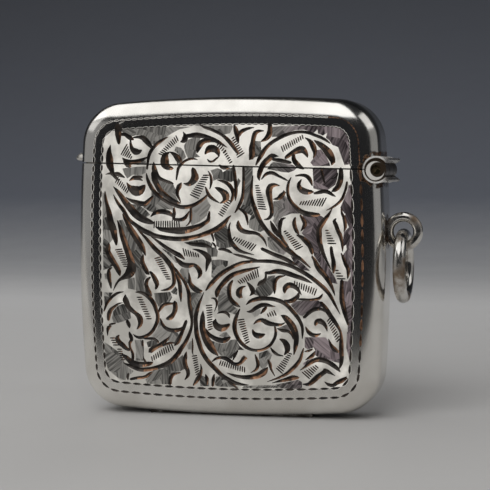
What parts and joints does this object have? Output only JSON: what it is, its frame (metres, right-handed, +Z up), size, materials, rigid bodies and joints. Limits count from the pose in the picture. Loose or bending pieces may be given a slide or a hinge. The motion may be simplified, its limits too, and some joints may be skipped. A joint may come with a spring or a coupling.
{
  "type": "vesta case",
  "caption": "Flat pocket box for matches in engraved silver, with a side-hinged sprung lid, a thumb lug, a grooved striker base and a suspension loop with a jump ring.",
  "frame": {"origin": "middle of the striker's sole, on the plane on which the case stands", "axes": "+Z up towards the lid's crown, +X towards the hinge and the suspension loop, -Y out of the front face"},
  "size_m": [0.0518, 0.0104, 0.0456],
  "materials": {
    "engraved_silver": "polished and bright-cut engraved silver",
    "plain_silver": "polished silver",
    "hinge_silver": "polished silver with brown tarnish in the corners",
    "wire_silver": "polished silver wire, worn",
    "pin_brass": "dark brass",
    "spring_steel": "blued spring steel"
  },
  "bodies": {
    "body": {"body_front_shell": "engraved_silver", "body_back_shell": "engraved_silver", "striker_strip": "plain_silver", "mouth_bezel": "plain_silver", "body_hinge_channel": "hinge_silver", "body_knuckle_front": "hinge_silver", "body_knuckle_back": "hinge_silver", "hinge_pin": "pin_brass", "snap_spring": "spring_steel", "spring_keeper": "plain_silver", "suspension_loop": "wire_silver"},
    "lid": {"lid_front_shell": "engraved_silver", "lid_back_shell": "engraved_silver", "lid_hinge_channel": "hinge_silver", "lid_knuckle": "hinge_silver", "thumb_lug": "plain_silver"},
    "ring": {"jump_ring": "wire_silver"}
  },
  "joints": [
    {"name": "lid_hinge", "type": "hinge", "parent": "body", "child": "lid", "pos_m": [0.02162, 0, 0.0351], "axis": [0, 1, 0], "range_deg": [0, 70], "deforming": ["snap_spring"]},
    {"name": "ring_swing", "type": "hinge", "parent": "body", "child": "ring", "pos_m": [0.02472, 0, 0.0264], "axis": [0, -1, 0], "range_deg": [-5, 100]}
  ]
}
